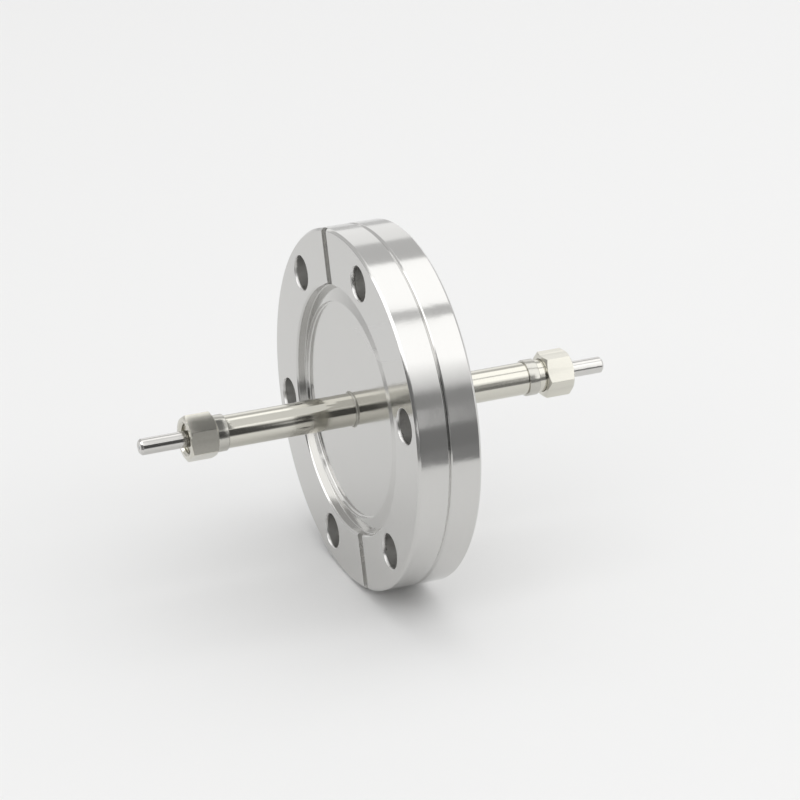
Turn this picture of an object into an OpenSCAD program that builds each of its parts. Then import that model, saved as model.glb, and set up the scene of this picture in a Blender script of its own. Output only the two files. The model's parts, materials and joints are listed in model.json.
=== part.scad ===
// Optical-fibre vacuum feedthrough on a knife-edge flange.
// A straight plated tube is brazed through the middle of the flange, and carries a
// screw-type fibre connector with a captive coupling nut at each end.
// The tube runs along X. The plane of the flange's front face is x = 0, and the
// knife edge, which is the vacuum side, looks to -X. All sizes are in millimetres.

/* [Flange] */
// Outside diameter of the flange
flange_d = 70; // [66:0.5:90]
// Thickness of the flange
flange_t = 12.7; // [9:0.1:20]
// Chamfer on both outer edges
edge_chamfer = 0.5; // [0.2:0.05:1]
// Width of the vee groove round the rim
rim_groove_w = 0.8; // [0.3:0.05:2]
// Depth of the vee groove round the rim
rim_groove_depth = 0.5; // [0.2:0.05:1]
// Angle from +Z towards +Y at which the first leak-check groove lies
flange_turn = 16.7; // [0:0.1:60]

/* [Bolt holes] */
// Diameter of the bolt circle
bolt_circle_d = 58.7; // [57:0.1:60]
// Number of bolt holes
bolt_count = 6; // [4:2:8]
// Diameter of a bolt hole
bolt_hole_d = 6.6; // [5:0.1:7]
// Edge break at both mouths of a bolt hole
bolt_hole_edge = 0.3; // [0.1:0.05:0.6]

/* [Knife edge] */
// Diameter of the gasket recess in the front face
recess_d = 48.3; // [46:0.1:49.5]
// Chamfer on the mouth of the gasket recess
recess_chamfer = 0.3; // [0.1:0.05:0.5]
// Diameter of the knife edge
knife_d = 41.9; // [38:0.1:43]
// Depth of the knife edge's tip below the front face
knife_drop = 0.65; // [0.3:0.05:1]
// Slope of the knife edge's outer flank
knife_slope = 20; // [15:1:25]
// Depth of the floor inside the knife edge below the front face
floor_depth = 1.4; // [1.2:0.1:3]
// Width of a leak-check groove
leak_groove_w = 2.2; // [1:0.1:4]
// Depth of a leak-check groove
leak_groove_depth = 0.8; // [0.5:0.05:1.5]

/* [Tube] */
// Outside diameter of the tube
tube_d = 6.35; // [5.8:0.05:9]
// Wall of the tube
tube_wall = 0.85; // [0.5:0.05:1]
// Length of tube that stands out of each flange face
tube_out = 28.5; // [20:0.1:60]
// Leg of the braze fillet at each root of the tube
braze_leg = 0.35; // [0.2:0.05:1.2]
// Radius of the fillet's hollow face as a share of its leg
braze_hollow = 0.95; // [0.85:0.01:0.98]

/* [Crimp rings] */
// Wall of a crimp ring
crimp_wall = 0.35; // [0.2:0.05:0.8]
// Length of a crimp ring
crimp_len = 2.2; // [1:0.1:6]
// Length of bare tube in front of a crimp ring
crimp_setback = 1.6; // [0.8:0.1:3]
// Chamfer on the outer edges of a crimp ring
crimp_chamfer = 0.12; // [0.05:0.01:0.18]

/* [Connector bodies] */
// Height of the shoulder above the neck
shoulder_step = 0.35; // [0.2:0.05:0.5]
// Thickness of the shoulder
shoulder_t = 0.7; // [0.4:0.1:2]
// Chamfer on the shoulder's front edge
shoulder_chamfer = 0.12; // [0.05:0.01:0.18]
// Length of the tail inside the tube
body_tail_len = 8; // [6:0.5:14]

/* [Ferrules] */
// Diameter of a ferrule
ferrule_d = 3.175; // [2.5:0.005:3.4]
// Length from the shoulder to the ferrule's tip
ferrule_out = 9.8; // [6:0.1:14]
// Length of the ferrule's tail, which is pressed into the body
ferrule_tail_len = 8; // [4:0.5:9]
// Step in radius from a ferrule down to its tail
ferrule_step = 0.3; // [0.2:0.05:0.5]
// Chamfer at the ferrule's tip
tip_chamfer = 0.4; // [0.1:0.05:0.8]

/* [Coupling nuts] */
// Length of a coupling nut
nut_len = 5.5; // [4:0.1:10]
// Wall between the ring groove and a flat of the hexagon
nut_wall = 0.45; // [0.3:0.05:1.5]
// Travel of a nut along the tube, from its back stop to its front stop
nut_float = 1.9; // [0.5:0.1:4]
// Chamfer angle on the corners of the hexagon
nut_corner_angle = 30; // [15:1:40]
// Countersink at the mouth of the thread
nut_mouth = 0.4; // [0.1:0.05:0.6]
// Place of the front nut in its travel, from 0 at the back to 1 at the front
front_nut_at = 0; // [0:0.05:1]
// Place of the rear nut in its travel, from 0 at the back to 1 at the front
rear_nut_at = 0.75; // [0:0.05:1]
// Turn of the front nut about the tube
front_nut_turn = 8.3; // [0:0.1:60]
// Turn of the rear nut about the tube
rear_nut_turn = 29; // [0:0.1:60]

/* [Retaining rings] */
// Height by which a retaining ring is caught behind the nut's counterbore
ring_catch = 0.275; // [0.2:0.025:0.4]
// Thickness of a retaining ring
ring_t = 0.5; // [0.3:0.05:0.7]
// Width of the split in a retaining ring
ring_split = 2; // [1:0.1:3]

/* [Fibre] */
// Diameter of the optical fibre
fibre_d = 0.66; // [0.2:0.01:1]
// Diameter of the fibre's jacket
jacket_d = 1.2; // [1.1:0.05:2]
// Length of the epoxy seal in the tube
seal_len = 12; // [4:0.5:20]

/* [Fits] */
// Radial gap of a bonded, brazed or pressed joint
bond_gap = 0.02; // [0.01:0.005:0.05]
// Radial running clearance of the nuts and rings
run_gap = 0.05; // [0.02:0.01:0.08]
// Axial play of a retaining ring in its groove, at each side
ring_play = 0.05; // [0.02:0.01:0.1]
// Gap that stays between a nut and its crimp ring at the back stop
stop_gap = 0.1; // [0.05:0.05:0.3]
// Radial gap round the fibre's jacket in the connector bodies
jacket_gap = 0.1; // [0.05:0.01:0.15]
// Radial clearance of the shoulder in the nut's thread
thread_gap = 0.2; // [0.1:0.05:0.3]

/* [Hidden] */
$fn = 96;
// Overshoot of a cutter past the face it opens
cut = 1;
// Reach of a leak-check groove's cutter into the gasket recess
groove_reach = 0.5;

FRONT = 0;
REAR = 1;

// Flange
flange_r = flange_d / 2;
knife_r = knife_d / 2;
recess_r = recess_d / 2;
recess_depth = knife_drop + (recess_r - knife_r) * tan(knife_slope);
bolt_step = 360 / bolt_count;
bolt_turn = flange_turn + bolt_step / 2;

// Tube, and the round pieces on its axis, from the bore outwards
tube_r = tube_d / 2;
tube_bore_r = tube_r - tube_wall;
neck_r = tube_bore_r - bond_gap;
shoulder_r = neck_r + shoulder_step;
ferrule_r = ferrule_d / 2;
ferrule_tail_r = ferrule_r - ferrule_step;
fibre_r = fibre_d / 2;
jacket_r = jacket_d / 2;
counterbore_r = tube_r + run_gap;
ring_bore_r = neck_r + run_gap;
ring_r = counterbore_r + ring_catch;
groove_r = ring_r + run_gap;
groove_len = ring_t + 2 * ring_play;
thread_r = shoulder_r + thread_gap;
nut_flat_r = groove_r + nut_wall;
nut_corner_r = nut_flat_r / cos(30);

// Stations along each end, measured outwards from the flange face
crimp_front = tube_out - crimp_setback;
crimp_back = crimp_front - crimp_len;
body_tail_end = tube_out - body_tail_len;
neck_len = nut_float + groove_len;
shoulder_back = tube_out + neck_len;
shoulder_front = shoulder_back + shoulder_t;
ferrule_back = shoulder_front - ferrule_tail_len;
tip = shoulder_front + ferrule_out;
counterbore_len = crimp_setback - stop_gap;
nut_stop = crimp_front + stop_gap;
nut_back = [nut_stop + front_nut_at * nut_float, nut_stop + rear_nut_at * nut_float];
nut_turn = [front_nut_turn, rear_nut_turn];

steel = [0.78, 0.78, 0.79];
nickel = [0.80, 0.79, 0.74];
braze = [0.74, 0.72, 0.66];
spring = [0.55, 0.55, 0.57];
glass = [0.75, 0.85, 0.90];
jacket = [0.20, 0.45, 0.75];
epoxy = [0.55, 0.38, 0.20];

// Turns a child that is built along +Z so that it points along +X
module along_x() {
  rotate([0, 90, 0]) children();
}

// Places a child that is built along +Z outwards from the flange face of one end
module outward(end) {
  if (end == FRONT) rotate([0, -90, 0]) children();
  else translate([flange_t, 0, 0]) along_x() children();
}

// Turns a child about the tube's axis, from +Z towards +Y
module turned(angle) {
  rotate([-angle, 0, 0]) children();
}

// Round sleeve between two radii and two stations
module sleeve(r_in, r_out, from, to) {
  translate([0, 0, from]) difference() {
    cylinder(r = r_out, h = to - from);
    translate([0, 0, -cut]) cylinder(r = r_in, h = to - from + 2 * cut);
  }
}

// Turned outline of the flange as radius and depth behind the front face
module flange_outline() {
  bore_r = tube_r + bond_gap;
  groove_mid = flange_t / 2;
  polygon([
    [bore_r, floor_depth],
    [knife_r, floor_depth],
    [knife_r, knife_drop],
    [recess_r, recess_depth],
    [recess_r, recess_chamfer],
    [recess_r + recess_chamfer, 0],
    [flange_r - edge_chamfer, 0],
    [flange_r, edge_chamfer],
    [flange_r, groove_mid - rim_groove_w / 2],
    [flange_r - rim_groove_depth, groove_mid],
    [flange_r, groove_mid + rim_groove_w / 2],
    [flange_r, flange_t - edge_chamfer],
    [flange_r - edge_chamfer, flange_t],
    [bore_r, flange_t]
  ]);
}

// Cutter for one bolt hole along +Z, with the edge break at both mouths
module bolt_hole_cutter() {
  r = bolt_hole_d / 2;
  mouth_r = r + bolt_hole_edge;
  translate([0, 0, -cut]) cylinder(r = r, h = flange_t + 2 * cut);
  translate([0, 0, -cut]) cylinder(r1 = mouth_r + cut, r2 = r, h = bolt_hole_edge + cut);
  translate([0, 0, flange_t - bolt_hole_edge])
    cylinder(r1 = r, r2 = mouth_r + cut, h = bolt_hole_edge + cut);
}

// Cutter for one leak-check groove along +Z, from the recess out through the rim
module leak_groove_cutter() {
  inner = recess_r - groove_reach;
  translate([-cut, -leak_groove_w / 2, inner])
    cube([cut + leak_groove_depth, leak_groove_w, flange_r - inner + cut]);
}

module knife_edge_flange() {
  color(steel) difference() {
    along_x() rotate_extrude() flange_outline();
    for (i = [0 : bolt_count - 1])
      turned(bolt_turn + i * bolt_step)
        translate([0, 0, bolt_circle_d / 2])
          along_x() bolt_hole_cutter();
    for (side = [0, 180])
      turned(flange_turn + side) leak_groove_cutter();
  }
}

module feedthrough_tube() {
  color(nickel) along_x() sleeve(tube_bore_r, tube_r, -tube_out, flange_t + tube_out);
}

// Hollow-faced fillet of braze metal round the root of the tube
module braze_fillet(end) {
  root = end == FRONT ? -floor_depth : 0;
  inner = tube_r + bond_gap;
  color(braze) outward(end) translate([0, 0, root]) rotate_extrude() difference() {
    translate([inner, 0]) square(braze_leg);
    translate([inner + braze_leg, braze_leg]) circle(r = braze_leg * braze_hollow);
  }
}

// Thin ring crimped round the tube over the tail of the connector body
module crimp_ring(end) {
  inner = tube_r + bond_gap;
  outer = inner + crimp_wall;
  color(steel) outward(end) rotate_extrude() polygon([
    [inner, crimp_back],
    [outer - crimp_chamfer, crimp_back],
    [outer, crimp_back + crimp_chamfer],
    [outer, crimp_front - crimp_chamfer],
    [outer - crimp_chamfer, crimp_front],
    [inner, crimp_front]
  ]);
}

// Turned body: tail in the tube, neck under the retaining ring, and the shoulder that stops the ring
module connector_body(end) {
  seat_r = ferrule_tail_r + bond_gap;
  lead_r = jacket_r + jacket_gap;
  color(nickel) outward(end) rotate_extrude() polygon([
    [lead_r, body_tail_end],
    [neck_r, body_tail_end],
    [neck_r, shoulder_back],
    [shoulder_r, shoulder_back],
    [shoulder_r, shoulder_front - shoulder_chamfer],
    [shoulder_r - shoulder_chamfer, shoulder_front],
    [seat_r, shoulder_front],
    [seat_r, ferrule_back],
    [lead_r, ferrule_back]
  ]);
}

// Precision ferrule with a chamfered tip and a thinner tail, bored for the fibre
module ferrule(end) {
  bore_r = fibre_r + bond_gap;
  step_at = shoulder_front + bond_gap;
  color(steel) outward(end) rotate_extrude() polygon([
    [bore_r, ferrule_back],
    [ferrule_tail_r, ferrule_back],
    [ferrule_tail_r, step_at],
    [ferrule_r, step_at],
    [ferrule_r, tip - tip_chamfer],
    [ferrule_r - tip_chamfer, tip],
    [bore_r, tip]
  ]);
}

// Hexagon with both ends turned down at its corners
module nut_blank() {
  drop = (nut_corner_r - nut_flat_r) * tan(nut_corner_angle);
  intersection() {
    cylinder(r = nut_corner_r, h = nut_len, $fn = 6);
    rotate_extrude() polygon([
      [0, 0],
      [nut_flat_r, 0],
      [nut_corner_r, drop],
      [nut_corner_r, nut_len - drop],
      [nut_flat_r, nut_len],
      [0, nut_len]
    ]);
  }
}

// Stepped bore of the nut: counterbore on the tube, ring groove, thread at its crests, and mouth
module nut_bore_cutter() {
  groove_end = counterbore_len + groove_len;
  rotate_extrude() polygon([
    [0, -cut],
    [counterbore_r, -cut],
    [counterbore_r, counterbore_len],
    [groove_r, counterbore_len],
    [groove_r, groove_end],
    [thread_r, groove_end],
    [thread_r, nut_len - nut_mouth],
    [thread_r + nut_mouth, nut_len],
    [thread_r + nut_mouth, nut_len + cut],
    [0, nut_len + cut]
  ]);
}

module coupling_nut(end) {
  color(nickel) outward(end) translate([0, 0, nut_back[end]]) difference() {
    rotate([0, 0, nut_turn[end]]) nut_blank();
    nut_bore_cutter();
  }
}

// Split ring that rides in the nut's groove and slides along the neck with it
module retaining_ring(end) {
  back = nut_back[end] + counterbore_len + ring_play;
  color(spring) outward(end) difference() {
    sleeve(ring_bore_r, ring_r, back, back + ring_t);
    translate([0, -ring_split / 2, back - cut]) cube([ring_r + cut, ring_split, ring_t + 2 * cut]);
  }
}

module optical_fibre() {
  color(glass) translate([-tip, 0, 0]) along_x() cylinder(r = fibre_r, h = flange_t + 2 * tip);
}

// Jacket on the fibre between the backs of the two ferrules
module fibre_jacket() {
  color(jacket) along_x()
    sleeve(fibre_r + bond_gap, jacket_r, bond_gap - ferrule_back, flange_t + ferrule_back - bond_gap);
}

// Plug of epoxy that closes the tube round the jacket, inside the flange
module epoxy_seal() {
  middle = flange_t / 2;
  color(epoxy) along_x()
    sleeve(jacket_r + bond_gap, tube_bore_r - bond_gap, middle - seal_len / 2, middle + seal_len / 2);
}

knife_edge_flange();
feedthrough_tube();
braze_fillet(FRONT);  // front_braze_fillet
braze_fillet(REAR);  // rear_braze_fillet
crimp_ring(FRONT);  // front_crimp_ring
crimp_ring(REAR);  // rear_crimp_ring
connector_body(FRONT);  // front_connector_body
connector_body(REAR);  // rear_connector_body
ferrule(FRONT);  // front_ferrule
ferrule(REAR);  // rear_ferrule
coupling_nut(FRONT);  // front_coupling_nut
coupling_nut(REAR);  // rear_coupling_nut
retaining_ring(FRONT);  // front_retaining_ring
retaining_ring(REAR);  // rear_retaining_ring
optical_fibre();
fibre_jacket();
epoxy_seal();
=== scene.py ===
"""Looks of an optical-fibre vacuum feedthrough on a knife-edge flange.

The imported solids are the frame. The turned pieces that show are lathed again here with
rounded edges, and the coupling nuts get their threads. The tube runs along X, and the
front face of the flange lies in the plane x = 0. Outlines are in millimetres.
"""

import json
import math

import bmesh
import bpy
from mathutils import Matrix, Vector


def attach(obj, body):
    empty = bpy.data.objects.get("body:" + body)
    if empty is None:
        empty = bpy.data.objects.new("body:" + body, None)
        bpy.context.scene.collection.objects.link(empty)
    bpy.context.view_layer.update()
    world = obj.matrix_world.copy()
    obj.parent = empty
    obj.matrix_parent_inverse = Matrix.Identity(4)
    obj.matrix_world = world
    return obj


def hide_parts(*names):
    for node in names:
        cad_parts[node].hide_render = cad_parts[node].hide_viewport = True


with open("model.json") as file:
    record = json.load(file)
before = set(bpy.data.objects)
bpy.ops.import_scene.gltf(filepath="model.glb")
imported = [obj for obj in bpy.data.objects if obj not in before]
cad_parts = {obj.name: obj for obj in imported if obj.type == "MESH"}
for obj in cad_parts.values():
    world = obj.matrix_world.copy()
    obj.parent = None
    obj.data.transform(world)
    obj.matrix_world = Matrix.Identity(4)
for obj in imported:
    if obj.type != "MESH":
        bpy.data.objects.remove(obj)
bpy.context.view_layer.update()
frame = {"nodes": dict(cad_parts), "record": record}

MM = 0.001

# Flange
FLANGE_R = 35.0
FLANGE_T = 12.7
FLANGE_TURN = 16.7
EDGE_CHAMFER = 0.5
RIM_GROOVE_W = 0.8
RIM_GROOVE_DEPTH = 0.5
BOLT_CIRCLE_R = 29.35
BOLT_COUNT = 6
BOLT_HOLE_R = 3.3
BOLT_HOLE_EDGE = 0.3
BOLT_HOLE_LEAD = 0.8
RECESS_R = 24.15
RECESS_CHAMFER = 0.3
KNIFE_R = 20.95
KNIFE_DROP = 0.65
KNIFE_SLOPE = math.radians(20)
FLOOR_DEPTH = 1.4
LEAK_GROOVE_COUNT = 2
LEAK_GROOVE_W = 2.2
LEAK_GROOVE_DEPTH = 0.8
LEAK_GROOVE_LIP = 0.12

# Tube and crimp rings
BOND_GAP = 0.02
TUBE_R = 3.175
TUBE_BORE_R = 2.325
TUBE_OUT = 28.5
CRIMP_BACK = 24.7
CRIMP_FRONT = 26.9
CRIMP_WALL = 0.35

# Ferrules
FERRULE_R = 1.5875
FERRULE_TAIL_R = 1.2875
FERRULE_BORE_R = 0.35
FERRULE_BACK = 23.7
FERRULE_STEP = 31.72
FERRULE_TIP = 41.5
TIP_CHAMFER = 0.4

# Coupling nuts
NUT_LEN = 5.5
NUT_FLAT_R = 4.0
NUT_CORNER_ROUND = 0.14
NUT_CORNER_ANGLE = math.radians(30)
NUT_COUNTERBORE_R = 3.225
NUT_COUNTERBORE_LEN = 1.5
NUT_GROOVE_R = 3.55
NUT_GROOVE_END = 2.1
NUT_THREAD_R = 2.855
NUT_MOUTH = 0.4
THREAD_PITCH = 0.7056
THREAD_DEPTH = 0.34
# Distance of each nut's back from the flange face, and its turn in degrees
NUT_PLACES = {"front": (27.0, 8.3), "rear": (28.425, 29.0)}

# Edges sharper than this angle stay sharp, and faces this square to the axis are shaded flat
SMOOTH_ANGLE = math.radians(32)
SQUARE_FACE = 0.9999


# Meshes

def rounded(corners, steps=4):
    """Closed outline of (x, radius) points, with each corner (x, radius, fillet) rounded."""
    points = []
    for i, (x, radius, fillet) in enumerate(corners):
        here = Vector((x, radius))
        if fillet == 0:
            points.append((x, radius))
            continue
        to_last = (Vector(corners[i - 1][:2]) - here).normalized()
        to_next = (Vector(corners[(i + 1) % len(corners)][:2]) - here).normalized()
        half = to_last.angle(to_next) / 2
        centre = here + (to_last + to_next).normalized() * fillet / math.sin(half)
        start = here + to_last * fillet / math.tan(half) - centre
        sweep = start.angle_signed(here + to_next * fillet / math.tan(half) - centre)
        for step in range(steps + 1):
            turned = start.copy()
            turned.rotate(Matrix.Rotation(-sweep * step / steps, 2))
            points.append(tuple(centre + turned))
    return points


def place_mesh(name, bm):
    """New object with this mesh, smooth but for its sharp edges."""
    bmesh.ops.recalc_face_normals(bm, faces=bm.faces)
    mesh = bpy.data.meshes.new(name)
    bm.to_mesh(mesh)
    bm.free()
    for face in mesh.polygons:
        face.use_smooth = True
    mesh.set_sharp_from_angle(angle=SMOOTH_ANGLE)
    obj = bpy.data.objects.new(name, mesh)
    bpy.context.scene.collection.objects.link(obj)
    return obj


def even_normals(obj):
    """Keeps flat faces flat beside their rounded edges."""
    modifier = obj.modifiers.new("even_normals", "WEIGHTED_NORMAL")
    modifier.keep_sharp = True
    modifier.weight = 100


def new_loops(bm, outlines):
    """Loops of vertices from outlines of points in millimetres."""
    return [[bm.verts.new(Vector(point) * MM) for point in outline] for outline in outlines]


def join_loops(bm, here, following):
    """Row of faces between two loops of the same length."""
    for i in range(len(here)):
        j = (i + 1) % len(here)
        bm.faces.new((here[i], here[j], following[j], following[i]))


def ring_mesh(sections):
    """Closed mesh through sections that follow each other round the X axis."""
    bm = bmesh.new()
    loops = new_loops(bm, sections)
    for here, following in zip(loops, loops[1:] + loops[:1]):
        join_loops(bm, here, following)
    return bm


def stacked_mesh(outlines):
    """Closed mesh through a stack of outlines, with a face on the first and on the last."""
    bm = bmesh.new()
    loops = new_loops(bm, outlines)
    for here, following in zip(loops, loops[1:]):
        join_loops(bm, here, following)
    bm.faces.new(loops[0])
    bm.faces.new(loops[-1])
    return bm


def about_x(x, radius, angle):
    """Point at this angle from +Z towards +Y."""
    return (x, radius * math.sin(angle), radius * math.cos(angle))


def full_turn(segments):
    """Even angles once round."""
    return [2 * math.pi * step / segments for step in range(segments)]


def lathe(name, outline, segments):
    """Turned piece about the X axis from a closed outline of (x, radius) points."""
    sections = [[about_x(x, radius, angle) for x, radius in outline] for angle in full_turn(segments)]
    return place_mesh(name, ring_mesh(sections))


def facing(end, outline):
    """Outline of (distance outwards from the flange face, radius) as (x, radius) at one end."""
    if end == "front":
        return [(-out, radius) for out, radius in outline]
    return [(FLANGE_T + out, radius) for out, radius in outline]


def cut_away(obj, cutters):
    """Cuts these objects out of obj, and deletes them."""
    for cutter in cutters:
        modifier = obj.modifiers.new("cut", "BOOLEAN")
        modifier.operation = "DIFFERENCE"
        modifier.solver = "EXACT"
        modifier.object = cutter
    bpy.context.view_layer.update()
    graph = bpy.context.evaluated_depsgraph_get()
    mesh = bpy.data.meshes.new_from_object(obj.evaluated_get(graph))
    obj.modifiers.clear()
    obj.data = mesh
    for cutter in cutters:
        bpy.data.objects.remove(cutter)
    for face in mesh.polygons:
        face.use_smooth = abs(face.normal.x) < SQUARE_FACE
    mesh.set_sharp_from_angle(angle=SMOOTH_ANGLE)


# Pieces

def flange_blank():
    """Turned flange before it is drilled."""
    recess_depth = KNIFE_DROP + (RECESS_R - KNIFE_R) * math.tan(KNIFE_SLOPE)
    groove = FLANGE_T / 2
    edge = 0.12
    knife = 0.05
    floor_corner = 0.3
    recess_corner = 0.1
    groove_lip = 0.08
    groove_root = 0.05
    return lathe("flange", rounded([
        (FLOOR_DEPTH, TUBE_R + BOND_GAP, 0),
        (FLOOR_DEPTH, KNIFE_R, floor_corner),
        (KNIFE_DROP, KNIFE_R, knife),
        (recess_depth, RECESS_R, recess_corner),
        (RECESS_CHAMFER, RECESS_R, edge),
        (0, RECESS_R + RECESS_CHAMFER, edge),
        (0, FLANGE_R - EDGE_CHAMFER, edge),
        (EDGE_CHAMFER, FLANGE_R, edge),
        (groove - RIM_GROOVE_W / 2, FLANGE_R, groove_lip),
        (groove, FLANGE_R - RIM_GROOVE_DEPTH, groove_root),
        (groove + RIM_GROOVE_W / 2, FLANGE_R, groove_lip),
        (FLANGE_T - EDGE_CHAMFER, FLANGE_R, edge),
        (FLANGE_T, FLANGE_R - EDGE_CHAMFER, edge),
        (FLANGE_T, TUBE_R + BOND_GAP, 0),
    ]), segments=288)


def bolt_hole_middle(index):
    """Point on a bolt hole's axis in the plane of the front face."""
    angle = math.radians(FLANGE_TURN + 180 / BOLT_COUNT + index * 360 / BOLT_COUNT)
    return about_x(0, BOLT_CIRCLE_R, angle)


def bolt_hole_cutter(index):
    """Cutter for one bolt hole, with a rounded edge break at both mouths."""
    reach = 2.0
    steps = 8
    sweep = math.radians(78)
    mouth = []
    for step in range(steps + 1):
        angle = sweep * step / steps
        depth = BOLT_HOLE_LEAD * (1 - math.sin(angle))
        mouth.append((depth, BOLT_HOLE_R + BOLT_HOLE_EDGE * (1 - math.cos(angle))))
    mouth.append((-reach, mouth[-1][1] + reach))
    outline = mouth[::-1] + [(FLANGE_T - x, radius) for x, radius in mouth]
    middle = Vector(bolt_hole_middle(index))
    segments = 96
    angles = full_turn(segments)
    rings = [[middle + Vector(about_x(x, radius, angle)) for angle in angles] for x, radius in outline]
    return place_mesh(f"bolt_hole_cutter_{index}", stacked_mesh(rings))


def leak_groove_cutter(index):
    """Cutter for one leak-check groove, with rounded lips."""
    lip = LEAK_GROOVE_LIP
    half = LEAK_GROOVE_W / 2
    reach = 1.5
    flare = 0.5
    run_in = 0.5
    run_out = 1.0
    steps = 3
    sweep = math.radians(72)
    section = [(LEAK_GROOVE_DEPTH, half)]
    for step in range(steps + 1):
        angle = sweep * step / steps
        section.append((lip * (1 - math.sin(angle)), half + lip * (1 - math.cos(angle))))
    section.append((-reach, section[-1][1] + flare))
    section += [(x, -side) for x, side in reversed(section)]
    turn = Matrix.Rotation(-math.radians(FLANGE_TURN + index * 360 / LEAK_GROOVE_COUNT), 3, "X")
    ends = (RECESS_R - run_in, FLANGE_R + run_out)
    outlines = [[turn @ Vector((x, side, out)) for x, side in section] for out in ends]
    return place_mesh(f"leak_groove_cutter_{index}", stacked_mesh(outlines))


def make_flange():
    """Flange with its bolt holes and leak-check grooves cut."""
    flange = flange_blank()
    cutters = [bolt_hole_cutter(index) for index in range(BOLT_COUNT)]
    cutters += [leak_groove_cutter(index) for index in range(LEAK_GROOVE_COUNT)]
    cut_away(flange, cutters)
    return flange


def finish_cuts(flange, drilled, deburred):
    """Gives the bolt holes, their mouths and the leak-check grooves their own finishes."""
    flange.data.materials.append(drilled)
    flange.data.materials.append(deburred)
    drilled_slot, deburred_slot = 1, 2
    slack = 0.005
    groove_side = LEAK_GROOVE_W / 2 + LEAK_GROOVE_LIP + 2 * slack
    upright = Matrix.Rotation(math.radians(FLANGE_TURN), 3, "X")
    middles = [bolt_hole_middle(index) for index in range(BOLT_COUNT)]
    for face in flange.data.polygons:
        x, y, z = face.center / MM
        off = min(math.hypot(y - middle[1], z - middle[2]) for middle in middles)
        depth = min(x, FLANGE_T - x)
        if off < BOLT_HOLE_R + BOLT_HOLE_EDGE and depth > slack:
            face.material_index = drilled_slot if depth > BOLT_HOLE_LEAD else deburred_slot
        below_face = slack < x < LEAK_GROOVE_DEPTH + slack
        outside_recess = math.hypot(y, z) > RECESS_R
        side = (upright @ face.center / MM).y
        if below_face and outside_recess and abs(side) < groove_side:
            face.material_index = deburred_slot


def make_tube():
    """Plated tube through the flange, from end to end."""
    edge = 0.15
    return lathe("tube", rounded([
        (-TUBE_OUT, TUBE_BORE_R, 0),
        (-TUBE_OUT, TUBE_R, edge),
        (FLANGE_T + TUBE_OUT, TUBE_R, edge),
        (FLANGE_T + TUBE_OUT, TUBE_BORE_R, 0),
    ]), segments=128)


def make_crimp_ring(end):
    """Thin ring round one end of the tube."""
    inner = TUBE_R + BOND_GAP
    outer = inner + CRIMP_WALL
    edge = 0.14
    return lathe(f"{end}_crimp", facing(end, rounded([
        (CRIMP_BACK, inner, 0),
        (CRIMP_BACK, outer, edge),
        (CRIMP_FRONT, outer, edge),
        (CRIMP_FRONT, inner, 0),
    ])), segments=128)


def make_ferrule(end):
    """Pin that stands out of one nut, with its tail in the connector body."""
    edge = 0.08
    bore_edge = 0.02
    return lathe(f"{end}_pin", facing(end, rounded([
        (FERRULE_BACK, FERRULE_BORE_R, 0),
        (FERRULE_BACK, FERRULE_TAIL_R, edge),
        (FERRULE_STEP, FERRULE_TAIL_R, 0),
        (FERRULE_STEP, FERRULE_R, 0),
        (FERRULE_TIP - TIP_CHAMFER, FERRULE_R, edge),
        (FERRULE_TIP, FERRULE_R - TIP_CHAMFER, edge),
        (FERRULE_TIP, FERRULE_BORE_R, bore_edge),
    ])), segments=96)


def hexagon_radius(angle):
    """Radius of the rounded hexagon at this angle from a corner."""
    half_side = math.pi / 6
    off = abs((angle + half_side) % (2 * half_side) - half_side)
    centre = (NUT_FLAT_R - NUT_CORNER_ROUND) / math.cos(half_side)
    side = NUT_CORNER_ROUND * math.sin(half_side)
    along = centre + NUT_CORNER_ROUND * math.cos(half_side)
    if off < math.atan2(side, along):
        return centre * math.cos(off) + math.sqrt(NUT_CORNER_ROUND ** 2 - (centre * math.sin(off)) ** 2)
    return NUT_FLAT_R / math.cos(half_side - off)


def nut_angles():
    """Angles round the nut, close together at the corners."""
    near_corner = [-0.95, -0.63, -0.32, 0, 0.32, 0.63, 0.95]
    flat_start = 2.5
    flat_step = 3.06
    flat_points = 19
    across_flat = [flat_start + flat_step * step for step in range(flat_points)]
    return [math.radians(60 * side + step) for side in range(6) for step in near_corner + across_flat]


def share(value):
    """The value held between 0 and 1."""
    return min(max(value, 0.0), 1.0)


def thread_radius(along, angle):
    """Radius of the threaded bore at this distance from the nut's back and this angle."""
    crest_share = 0.12
    flank_share = 0.74
    fade = 0.25
    turn = (along / THREAD_PITCH - angle / (2 * math.pi)) % 1.0
    wave = 1 - abs(2 * turn - 1)
    flank = share((wave - crest_share) / flank_share)
    run_in = share((along - NUT_GROOVE_END) / fade)
    run_out = share((NUT_LEN - NUT_MOUTH - along) / fade)
    return NUT_THREAD_R + THREAD_DEPTH * flank * min(run_in, run_out)


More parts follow.
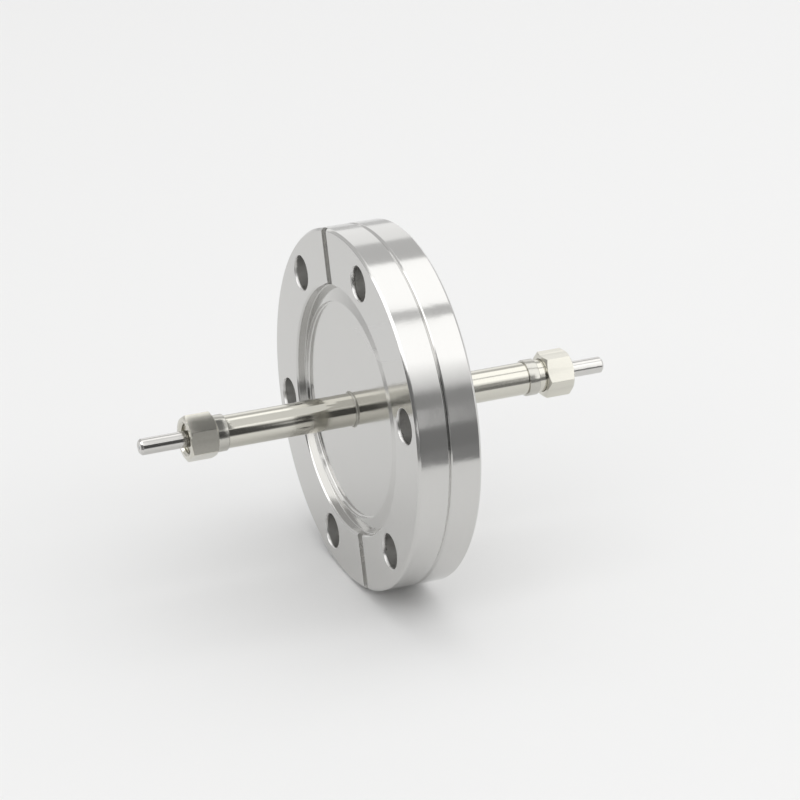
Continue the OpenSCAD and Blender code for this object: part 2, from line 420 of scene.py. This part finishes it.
def nut_section(angle):
    """Outline of the nut at one angle from a corner, as (distance from its back, radius)."""
    corner = hexagon_radius(angle)
    drop = (corner - NUT_FLAT_R) * math.tan(NUT_CORNER_ANGLE)
    edge = 0.05
    edge_drop = 0.4 * edge
    outline = [
        (0, NUT_COUNTERBORE_R + edge),
        (0, NUT_FLAT_R - edge),
        (edge_drop, NUT_FLAT_R),
        (drop + edge, corner),
        (NUT_LEN - drop - edge, corner),
        (NUT_LEN - edge_drop, NUT_FLAT_R),
        (NUT_LEN, NUT_FLAT_R - edge),
        (NUT_LEN, NUT_THREAD_R + NUT_MOUTH + edge),
        (NUT_LEN - edge, NUT_THREAD_R + NUT_MOUTH),
    ]
    steps = 64
    thread_end = NUT_LEN - NUT_MOUTH
    for step in range(steps + 1):
        along = thread_end + (NUT_GROOVE_END - thread_end) * step / steps
        outline.append((along, thread_radius(along, angle)))
    outline += [
        (NUT_GROOVE_END, NUT_GROOVE_R),
        (NUT_COUNTERBORE_LEN, NUT_GROOVE_R),
        (NUT_COUNTERBORE_LEN, NUT_COUNTERBORE_R),
        (edge, NUT_COUNTERBORE_R),
    ]
    return outline


def make_nut(end):
    """Coupling nut with its thread cut, where it stands at rest."""
    back, turn = NUT_PLACES[end]
    sections = []
    for angle in nut_angles():
        outline = [(back + along, radius) for along, radius in nut_section(angle)]
        around = angle + math.radians(turn)
        if end == "rear":
            around = math.pi - around
        sections.append([about_x(x, radius, around) for x, radius in facing(end, outline)])
    return place_mesh(f"{end}_nut_threaded", ring_mesh(sections))


# Shader groups

def new_group(name, inputs, outputs):
    """Empty shader group with named float inputs and outputs."""
    group = bpy.data.node_groups.new(name, "ShaderNodeTree")
    for label, value in inputs:
        socket = group.interface.new_socket(label, in_out="INPUT", socket_type="NodeSocketFloat")
        socket.default_value = value
    for label in outputs:
        group.interface.new_socket(label, in_out="OUTPUT", socket_type="NodeSocketFloat")
    return group, group.nodes.new("NodeGroupInput"), group.nodes.new("NodeGroupOutput")


def math_node(tree, operation, first, second=None):
    """Math node whose inputs are sockets or numbers; gives its output socket."""
    node = tree.nodes.new("ShaderNodeMath")
    node.operation = operation
    for index, value in enumerate((first, second)):
        if value is None:
            continue
        if isinstance(value, (int, float)):
            node.inputs[index].default_value = value
        else:
            tree.links.new(value, node.inputs[index])
    return node.outputs[0]


def turned_grain():
    """Fine rings that a lathe leaves about the X axis, broken along their length."""
    off_axis = 1e-9
    inputs = [("Rings per metre", 9000.0), ("Breaks", 4.0)]
    group, given, result = new_group("turned_grain", inputs, ["Grain"])
    place = group.nodes.new("ShaderNodeTexCoord")
    split = group.nodes.new("ShaderNodeSeparateXYZ")
    group.links.new(place.outputs["Object"], split.inputs[0])
    x, y, z = split.outputs
    square = math_node(group, "ADD", math_node(group, "MULTIPLY", y, y), math_node(group, "MULTIPLY", z, z))
    radius = math_node(group, "SQRT", math_node(group, "ADD", square, off_axis))
    rings = given.outputs["Rings per metre"]
    breaks = given.outputs["Breaks"]
    joined = group.nodes.new("ShaderNodeCombineXYZ")
    group.links.new(math_node(group, "MULTIPLY", x, rings), joined.inputs[0])
    group.links.new(math_node(group, "MULTIPLY", radius, rings), joined.inputs[1])
    across = math_node(group, "DIVIDE", y, radius)
    group.links.new(math_node(group, "MULTIPLY", across, breaks), joined.inputs[2])
    upright = math_node(group, "DIVIDE", z, radius)
    noise = group.nodes.new("ShaderNodeTexNoise")
    noise.noise_dimensions = "4D"
    noise.inputs["Scale"].default_value = 1.0
    noise.inputs["Detail"].default_value = 3.0
    noise.inputs["Roughness"].default_value = 0.6
    group.links.new(joined.outputs[0], noise.inputs["Vector"])
    group.links.new(math_node(group, "MULTIPLY", upright, breaks), noise.inputs["W"])
    group.links.new(noise.outputs["Fac"], result.inputs["Grain"])
    return group


def handling_marks():
    """Faint cloudy smudges and specks of dust from handling."""
    inputs = [("Smudge scale", 60.0), ("Speck scale", 900.0)]
    group, given, result = new_group("handling_marks", inputs, ["Smudge", "Speck"])
    place = group.nodes.new("ShaderNodeTexCoord")
    cloud = group.nodes.new("ShaderNodeTexNoise")
    cloud.inputs["Detail"].default_value = 5.0
    cloud.inputs["Distortion"].default_value = 0.6
    group.links.new(place.outputs["Object"], cloud.inputs["Vector"])
    group.links.new(given.outputs["Smudge scale"], cloud.inputs["Scale"])
    ramp = group.nodes.new("ShaderNodeMapRange")
    ramp.inputs["From Min"].default_value = 0.42
    ramp.inputs["From Max"].default_value = 0.72
    group.links.new(cloud.outputs["Fac"], ramp.inputs["Value"])
    group.links.new(ramp.outputs["Result"], result.inputs["Smudge"])
    dust = group.nodes.new("ShaderNodeTexVoronoi")
    group.links.new(place.outputs["Object"], dust.inputs["Vector"])
    group.links.new(given.outputs["Speck scale"], dust.inputs["Scale"])
    speck = group.nodes.new("ShaderNodeMapRange")
    speck.inputs["From Min"].default_value = 0.1
    speck.inputs["From Max"].default_value = 0.05
    group.links.new(dust.outputs["Distance"], speck.inputs["Value"])
    group.links.new(speck.outputs["Result"], result.inputs["Speck"])
    return group


def painted_edge_highlight():
    """Painted highlight: edges, found by their pointiness, coloured brighter than the faces beside them."""
    group, given, result = new_group("painted_edge_highlight", [("Start", 0.52), ("Full", 0.62)], ["Edge"])
    shape = group.nodes.new("ShaderNodeNewGeometry")
    ramp = group.nodes.new("ShaderNodeMapRange")
    group.links.new(shape.outputs["Pointiness"], ramp.inputs["Value"])
    group.links.new(given.outputs["Start"], ramp.inputs["From Min"])
    group.links.new(given.outputs["Full"], ramp.inputs["From Max"])
    group.links.new(ramp.outputs["Result"], result.inputs["Edge"])
    return group


GRAIN = turned_grain()
MARKS = handling_marks()
EDGES = painted_edge_highlight()


# Materials

def use_group(tree, group, **values):
    """Group node in a material; underscores in the value names stand for spaces."""
    node = tree.nodes.new("ShaderNodeGroup")
    node.node_tree = group
    for label, value in values.items():
        node.inputs[label.replace("_", " ")].default_value = value
    return node


def mix_colour(tree, factor, first, second):
    """Mix of two colours, each a socket or a tuple; gives the colour socket."""
    node = tree.nodes.new("ShaderNodeMix")
    node.data_type = "RGBA"
    tree.links.new(factor, node.inputs["Factor"])
    for socket, value in ((node.inputs[6], first), (node.inputs[7], second)):
        if isinstance(value, tuple):
            socket.default_value = (*value, 1.0)
        else:
            tree.links.new(value, socket)
    return node.outputs[2]


def shade(colour, amount):
    """The colour made lighter or darker by this factor."""
    return tuple(min(channel * amount, 1.0) for channel in colour)


def new_material(name):
    """Empty material, with its node tree and its shader."""
    material = bpy.data.materials.new(name)
    material.use_nodes = True
    shader = material.node_tree.nodes["Principled BSDF"]
    return material, material.node_tree, shader


GRAIN_DEPTH = 0.00002
WAVE_DEPTH = 0.00002


def turned_metal(name, colour, roughness, rings, grain, bump, breaks=4.0, wave=WAVE_DEPTH, edge_highlight_gain=1.15):
    """Metal with lathe grain, smudges, dust, a painted highlight on its edges and a slight waviness."""
    dust_shade = 0.9
    grain_spread = 0.06
    smudge_spread = 0.05
    material, tree, shader = new_material(name)
    shader.inputs["Metallic"].default_value = 1.0
    lines = use_group(tree, GRAIN, Rings_per_metre=rings, Breaks=breaks).outputs["Grain"]
    marks = use_group(tree, MARKS)
    edge = use_group(tree, EDGES).outputs["Edge"]
    tint = mix_colour(tree, lines, shade(colour, 1 - grain), shade(colour, 1 + grain))
    dusted = mix_colour(tree, marks.outputs["Speck"], tint, shade(colour, dust_shade))
    # Painted highlight: edges get a brighter copy of the colour, scaled by the edge highlight gain
    edge_highlighted = mix_colour(tree, edge, dusted, shade(colour, edge_highlight_gain))
    tree.links.new(edge_highlighted, shader.inputs["Base Color"])
    spread = math_node(tree, "MULTIPLY", lines, grain_spread)
    cloud = math_node(tree, "MULTIPLY", marks.outputs["Smudge"], smudge_spread)
    rough = math_node(tree, "ADD", math_node(tree, "ADD", spread, cloud), roughness - grain_spread / 2)
    tree.links.new(rough, shader.inputs["Roughness"])
    relief = tree.nodes.new("ShaderNodeBump")
    relief.inputs["Strength"].default_value = bump
    relief.inputs["Distance"].default_value = GRAIN_DEPTH
    tree.links.new(lines, relief.inputs["Height"])
    waves = tree.nodes.new("ShaderNodeBump")
    waves.inputs["Strength"].default_value = 1.0
    waves.inputs["Distance"].default_value = wave
    tree.links.new(marks.outputs["Smudge"], waves.inputs["Height"])
    tree.links.new(relief.outputs["Normal"], waves.inputs["Normal"])
    tree.links.new(waves.outputs["Normal"], shader.inputs["Normal"])
    return material


STEEL = (0.62, 0.615, 0.60)
NICKEL = (0.63, 0.615, 0.555)


def make_metals():
    """The metal finishes by their slot names, then those of the flange's cuts."""
    return {
        "flange_steel": turned_metal(
            "flange_steel_turned", STEEL,
            roughness=0.11, rings=9000, grain=0.03, bump=0.10, edge_highlight_gain=1.0),
        "tube_nickel": turned_metal(
            "tube_nickel_bright", NICKEL,
            roughness=0.10, rings=2500, grain=0.02, bump=0.06, breaks=1.5, wave=0.0),
        "crimp_steel": turned_metal(
            "crimp_steel_satin", (0.54, 0.53, 0.49),
            roughness=0.18, rings=14000, grain=0.05, bump=0.2, breaks=9.0),
        "nut_nickel": turned_metal(
            "nut_nickel_plate", NICKEL,
            roughness=0.16, rings=6000, grain=0.03, bump=0.1, breaks=6.0, wave=0.0),
        "body_nickel": turned_metal(
            "body_nickel_turned", shade(NICKEL, 0.93),
            roughness=0.18, rings=9000, grain=0.03, bump=0.15),
        "ferrule_steel": turned_metal(
            "ferrule_steel_ground", (0.61, 0.60, 0.58),
            roughness=0.12, rings=16000, grain=0.03, bump=0.08),
        "spring_steel": turned_metal(
            "spring_steel_plain", (0.36, 0.36, 0.37),
            roughness=0.28, rings=9000, grain=0.05, bump=0.2),
        "braze_metal": turned_metal(
            "braze_metal_flowed", shade(NICKEL, 0.6),
            roughness=0.30, rings=1200, grain=0.04, bump=0.2, breaks=12.0),
        "flange_drilled": turned_metal(
            "flange_steel_drilled", STEEL,
            roughness=0.38, rings=5000, grain=0.10, bump=0.9, breaks=2.0),
        "flange_deburred": turned_metal(
            "flange_steel_deburred", STEEL,
            roughness=0.26, rings=5000, grain=0.05, bump=0.3, breaks=2.0),
    }


def make_glass():
    """Polished glass of the fibre."""
    smudge_spread = 0.08
    glass, tree, shader = new_material("fibre_glass_polished")
    shader.inputs["Base Color"].default_value = (0.85, 0.92, 0.95, 1.0)
    shader.inputs["Transmission Weight"].default_value = 0.6
    shader.inputs["IOR"].default_value = 1.46
    smudge = use_group(tree, MARKS, Smudge_scale=2000.0).outputs["Smudge"]
    tree.links.new(math_node(tree, "MULTIPLY", smudge, smudge_spread), shader.inputs["Roughness"])
    return glass


def make_plastic(name, colour, roughness):
    """Cured plastic with faint clouds in its colour and its gloss."""
    cloud_shade = 1.25
    smudge_spread = 0.1
    plastic, tree, shader = new_material(name)
    smudge = use_group(tree, MARKS, Smudge_scale=400.0).outputs["Smudge"]
    tint = mix_colour(tree, smudge, colour, shade(colour, cloud_shade))
    tree.links.new(tint, shader.inputs["Base Color"])
    rough = math_node(tree, "ADD", math_node(tree, "MULTIPLY", smudge, smudge_spread), roughness)
    tree.links.new(rough, shader.inputs["Roughness"])
    return plastic


def make_materials():
    """The finishes by their slot names."""
    finishes = make_metals()
    finishes["fibre_glass"] = make_glass()
    finishes["jacket_plastic"] = make_plastic("jacket_plastic_cured", (0.05, 0.17, 0.42), 0.5)
    finishes["seal_epoxy"] = make_plastic("seal_epoxy_cured", (0.26, 0.12, 0.035), 0.3)
    return finishes


def dress(obj, material):
    """Gives an object one material in all its slots."""
    if not obj.data.materials:
        obj.data.materials.append(material)
    for index in range(len(obj.data.materials)):
        obj.data.materials[index] = material


def build(finishes):
    """Finer pieces in place of the solids that show, and finishes on the rest."""
    slots = {row["node"]: row["material_slot"] for row in frame["record"]["subparts"]}
    fixed = "flange_and_tube"
    made = [(make_flange(), "knife_edge_flange", fixed), (make_tube(), "feedthrough_tube", fixed)]
    for end in ("front", "rear"):
        made.append((make_crimp_ring(end), f"{end}_crimp_ring", fixed))
        made.append((make_ferrule(end), f"{end}_ferrule", fixed))
        made.append((make_nut(end), f"{end}_coupling_nut", f"{end}_nut"))
    for piece, node, body in made:
        even_normals(piece)
        dress(piece, finishes[slots[node]])
        if node == "knife_edge_flange":
            finish_cuts(piece, finishes["flange_drilled"], finishes["flange_deburred"])
        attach(piece, body)
        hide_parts(node)
    for node, obj in frame["nodes"].items():
        dress(obj, finishes[slots[node]])


# Stage, in metres

FLOOR_Z = -0.035
FLOOR_REACH = 3.0
TABLE_Z = FLOOR_Z + 0.001


def emitter(name, grades):
    """Glow that changes with height, from (height in metres, strength) pairs in rising order."""
    material = bpy.data.materials.new(name)
    material.use_nodes = True
    tree = material.node_tree
    tree.nodes.clear()
    glow = tree.nodes.new("ShaderNodeEmission")
    out = tree.nodes.new("ShaderNodeOutputMaterial")
    tree.links.new(glow.outputs[0], out.inputs["Surface"])
    if len(grades) == 1:
        glow.inputs["Strength"].default_value = grades[0][1]
        return material
    place = tree.nodes.new("ShaderNodeTexCoord")
    split = tree.nodes.new("ShaderNodeSeparateXYZ")
    tree.links.new(place.outputs["Object"], split.inputs[0])
    low, high = grades[0][0], grades[-1][0]
    height = tree.nodes.new("ShaderNodeMapRange")
    height.inputs["From Min"].default_value = low
    height.inputs["From Max"].default_value = high
    tree.links.new(split.outputs["Z"], height.inputs["Value"])
    curve = tree.nodes.new("ShaderNodeFloatCurve")
    peak = max(strength for _, strength in grades)
    points = curve.mapping.curves[0].points
    places = [((z - low) / (high - low), strength / peak) for z, strength in grades]
    points[0].location = places[0]
    points[1].location = places[-1]
    for spot in places[1:-1]:
        points.new(*spot)
    for point in points:
        point.handle_type = "VECTOR"
    curve.mapping.update()
    tree.links.new(height.outputs["Result"], curve.inputs["Value"])
    tree.links.new(math_node(tree, "MULTIPLY", curve.outputs[0], peak), glow.inputs["Strength"])
    return material


def make_floor():
    """Plain pale floor."""
    bm = bmesh.new()
    bmesh.ops.create_grid(bm, x_segments=8, y_segments=8, size=FLOOR_REACH)
    bmesh.ops.translate(bm, verts=bm.verts, vec=(0, 0, FLOOR_Z))
    floor = place_mesh("floor", bm)
    material, _, shader = new_material("floor_pale")
    shader.inputs["Base Color"].default_value = (0.86, 0.86, 0.857, 1.0)
    shader.inputs["Roughness"].default_value = 0.7
    shader.inputs["Specular IOR Level"].default_value = 0.2
    dress(floor, material)


def reflection_card(name, corners, grades):
    """Card that only the polished metal sees, as in a light tent."""
    bm = bmesh.new()
    bm.faces.new([bm.verts.new(corner) for corner in corners])
    card = place_mesh(name, bm)
    dress(card, emitter(f"{name}_face", grades))
    card.visible_camera = False
    card.visible_diffuse = False
    card.visible_shadow = False
    card.visible_transmission = False


def front_card(name, y, outline, grades):
    """Card across the Y axis, from an outline of (x, z) points."""
    reflection_card(name, [(x, y, z) for x, z in outline], grades)


def side_card(name, x, near, far, low, high, strength):
    """Plain card across the X axis."""
    corners = [(x, near, low), (x, far, low), (x, far, high), (x, near, high)]
    reflection_card(name, corners, [(low, strength)])


def level_card(name, z, left, right, near, far, strength):
    """Plain card that lies level."""
    corners = [(left, near, z), (right, near, z), (right, far, z), (left, far, z)]
    reflection_card(name, corners, [(z, strength)])


def oblong(left, right, low, high):
    """Outline of an upright oblong, as (x, z) points."""
    return [(left, low), (right, low), (right, high), (left, high)]


def softbox(name, low, high, distance, x, width, radiance):
    """Area lamp that covers these elevations in degrees, measured from -Y over the top."""
    middle = math.radians(low + high) / 2
    height = 2 * distance * math.tan(math.radians(high - low) / 2)
    lamp = bpy.data.lights.new(name, "AREA")
    lamp.shape = "RECTANGLE"
    lamp.size = width
    lamp.size_y = height
    lamp.energy = radiance * math.pi * width * height
    obj = bpy.data.objects.new(name, lamp)
    away = Vector((0, -math.cos(middle), math.sin(middle)))
    turn = Matrix((Vector((1, 0, 0)), away.cross(Vector((1, 0, 0))), away)).transposed()
    obj.matrix_world = Matrix.Translation(Vector((x, 0, 0)) + away * distance) @ turn.to_4x4()
    bpy.context.scene.collection.objects.link(obj)


def make_lights():
    """Even backdrop, two soft boxes and the cards of the light tent."""
    world = bpy.data.worlds.new("studio")
    world.use_nodes = True
    backdrop = world.node_tree.nodes["Background"]
    backdrop.inputs["Color"].default_value = (1.0, 1.0, 1.0, 1.0)
    backdrop.inputs["Strength"].default_value = 0.68
    bpy.context.scene.world = world
    softbox("front_softbox", low=45, high=74, distance=1.1, x=0.1, width=3.4, radiance=0.9)
    softbox("rear_softbox", low=81.5, high=120, distance=1.1, x=0.5, width=1.8, radiance=0.9)
    make_front_cards()
    make_overhead_cards()
    make_far_cards()


def make_far_cards():
    """Cards above, behind and to the left, which the flange's faces and the nuts mirror."""
    level_card("top_card", z=1.0, left=-1.1, right=-0.12, near=-0.1, far=0.9, strength=1.5)
    level_card("left_table_flag", TABLE_Z, left=-0.7, right=-0.12, near=-0.35, far=-0.02, strength=0.25)
    level_card("rear_table_flag", TABLE_Z, left=-0.3, right=-0.11, near=-0.02, far=0.16, strength=0.4)
    side_card("left_screen", x=-1.0, near=-0.5, far=0.7, low=0.42, high=0.95, strength=2.2)
    side_card("left_flag", x=-1.0, near=-0.6, far=0.3, low=-0.03, high=0.38, strength=0.2)
    back = oblong(left=-0.2, right=1.2, low=0.14, high=0.75)
    front_card("back_screen", y=1.0, outline=back, grades=[(0.14, 1.15)])


def make_front_cards():
    """Dark and pale cards on the camera's side, which put the streaks on the rim and the tube.

    The rises are elevations in degrees seen from the tube, each with the screen's strength there.
    """
    y = -0.30
    behind = y - 0.01
    before = y + 0.001
    reach = 0.27
    left, right = -0.05, 0.178
    bend, lean = 0.10, 0.035
    table_near, table_split, table_right = -0.145, 0.055, 0.6

    def height(rise):
        """Height on the cards of a rise in degrees."""
        return reach * math.tan(math.radians(rise))

    rises = [(8, 0.24), (9, 0.34), (20, 0.34), (29, 0.32), (34, 0.85), (42, 1.22), (47, 1.5)]
    grades = [(height(rise), strength) for rise, strength in rises]
    low, high = grades[0][0], grades[-1][0]
    screen = [(left, low), (right, low), (right, bend), (right + lean, high), (left, high)]
    front_card("front_screen", y, screen, grades)
    glint = oblong(left, right=0.1165, low=height(9), high=height(20.5))
    front_card("rim_glint", before, glint, [(0, 0.62)])
    beside = oblong(left=right - 0.02, right=0.8, low=low, high=high + 0.07)
    front_card("right_screen", behind, beside, [(low, 1.6)])
    front_card("low_flag", y, oblong(left, table_right, FLOOR_Z, low), [(low, 0.23)])
    front_card("low_screen", behind, oblong(-0.6, left, FLOOR_Z, low), [(low, 0.9)])
    level_card("table_flag", TABLE_Z, table_split, table_right, table_near, y, strength=0.27)
    level_card("nut_table_flag", TABLE_Z, left, table_split, table_near, y, strength=0.42)
    under_tube = oblong(left=-0.06, right=0.026, low=-0.014, high=0.082)
    front_card("tube_flag", -0.115, under_tube, [(0, 0.08)])


def overhead_card(name, radius, out_from, out_to, low, high, strength):
    """Small card above a stretch of the front end, placed where a round of this radius mirrors it.

    It covers these elevations in degrees, measured from -Y over the top.
    """
    height = 0.016
    rise = height - radius * MM
    lean = 0.335
    step = 5
    edges = []
    for out in (out_from, out_to):
        edge = []
        for angle in range(low, high + 1, step):
            slope = math.radians(angle)
            edge.append((lean * rise / math.sin(slope) - out * MM, -rise / math.tan(slope), height))
        edges.append(edge)
    reflection_card(name, edges[0] + edges[1][::-1], [(height, strength)])


def make_overhead_cards():
    """Cards that keep the front end's upper side calmer than the rear end's."""
    nut_tip = NUT_PLACES["front"][0] + NUT_LEN
    behind_crimp = 0.8
    tube_end = CRIMP_BACK - behind_crimp
    tube_root = 4.0
    overhead_card("pin_card", FERRULE_R, FERRULE_TIP, nut_tip, low=40, high=95, strength=0.95)
    overhead_card("nut_flag", NUT_FLAT_R, nut_tip, tube_end, low=30, high=110, strength=0.2)
    overhead_card("tube_card", TUBE_R, tube_end, tube_root, low=40, high=95, strength=0.88)


def make_camera():
    """Camera at the photograph's viewing angle."""
    camera = bpy.data.cameras.new("camera")
    camera.sensor_width = 36.0
    camera.lens = 172.69
    camera.clip_start = 0.01
    camera.clip_end = 20.0
    obj = bpy.data.objects.new("camera", camera)
    right = Vector((0.9165, -0.4000, 0.0))
    up = Vector((0.1652, 0.3785, 0.9106))
    back = Vector((-0.3645, -0.8345, 0.4126))
    turn = Matrix((right, up, back)).transposed()
    obj.matrix_world = Matrix.Translation((-0.25575, -0.61192, 0.30280)) @ turn.to_4x4()
    bpy.context.scene.collection.objects.link(obj)
    bpy.context.scene.camera = obj


build(make_materials())
make_floor()
make_lights()
make_camera()
bpy.context.scene.view_settings.view_transform = "Standard"

bpy.context.view_layer.update()
